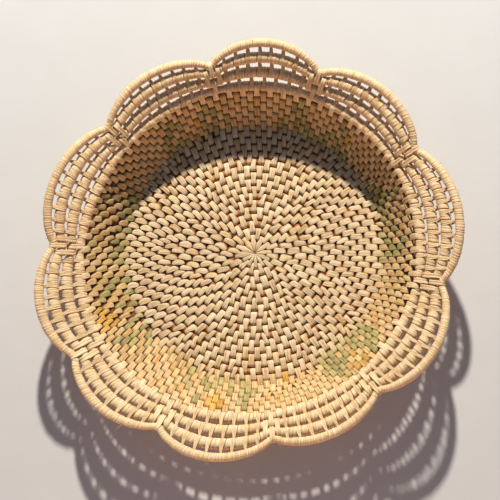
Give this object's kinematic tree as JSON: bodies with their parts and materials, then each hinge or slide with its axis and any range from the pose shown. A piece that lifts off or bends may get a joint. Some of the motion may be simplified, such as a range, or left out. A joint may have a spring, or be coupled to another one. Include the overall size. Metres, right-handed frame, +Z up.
{
  "type": "woven basket",
  "caption": "Round shallow basket bowl, coiled from a stitched rope with a flat floor, a sloping wall and a scalloped openwork rim of lashed cords.",
  "frame": {"origin": "on the table, under the middle of the flat floor, where the coil starts", "axes": "+Z up out of the bowl; +X and +Y lie in the table's plane, and the picture's top is +Y"},
  "size_m": [0.3022, 0.3, 0.063],
  "materials": {
    "coil_strips": "dried palm and grass strips, matte, with green and orange strips worked in",
    "rim_wrapping": "narrow dried strips wound closely round a core, matte",
    "lashing_strips": "flat dried strips, matte, slightly shiny along the grain"
  },
  "bodies": {
    "root": {"centre_knot": "coil_strips", "base_coil": "coil_strips", "wall_coil": "coil_strips", "rim_cord_inner": "rim_wrapping", "rim_cord_second": "rim_wrapping", "rim_cord_third": "rim_wrapping", "rim_cord_outer": "rim_wrapping", "lashing_01_inner": "lashing_strips", "lashing_01_middle_left": "lashing_strips", "lashing_01_middle_right": "lashing_strips", "lashing_01_outer": "lashing_strips", "lashing_02_inner": "lashing_strips", "lashing_02_middle_left": "lashing_strips", "lashing_02_middle_right": "lashing_strips", "lashing_02_outer": "lashing_strips", "lashing_03_inner": "lashing_strips", "lashing_03_middle_left": "lashing_strips", "lashing_03_middle_right": "lashing_strips", "lashing_03_outer": "lashing_strips", "lashing_04_inner": "lashing_strips", "lashing_04_middle_left": "lashing_strips", "lashing_04_middle_right": "lashing_strips", "lashing_04_outer": "lashing_strips", "lashing_05_inner": "lashing_strips", "lashing_05_middle_left": "lashing_strips", "lashing_05_middle_right": "lashing_strips", "lashing_05_outer": "lashing_strips", "lashing_06_inner": "lashing_strips", "lashing_06_middle_left": "lashing_strips", "lashing_06_middle_right": "lashing_strips", "lashing_06_outer": "lashing_strips", "lashing_07_inner": "lashing_strips", "lashing_07_middle_left": "lashing_strips", "lashing_07_middle_right": "lashing_strips", "lashing_07_outer": "lashing_strips", "lashing_08_inner": "lashing_strips", "lashing_08_middle_left": "lashing_strips", "lashing_08_middle_right": "lashing_strips", "lashing_08_outer": "lashing_strips", "lashing_09_inner": "lashing_strips", "lashing_09_middle_left": "lashing_strips", "lashing_09_middle_right": "lashing_strips", "lashing_09_outer": "lashing_strips", "lashing_10_inner": "lashing_strips", "lashing_10_middle_left": "lashing_strips", "lashing_10_middle_right": "lashing_strips", "lashing_10_outer": "lashing_strips"}
  },
  "joints": []
}
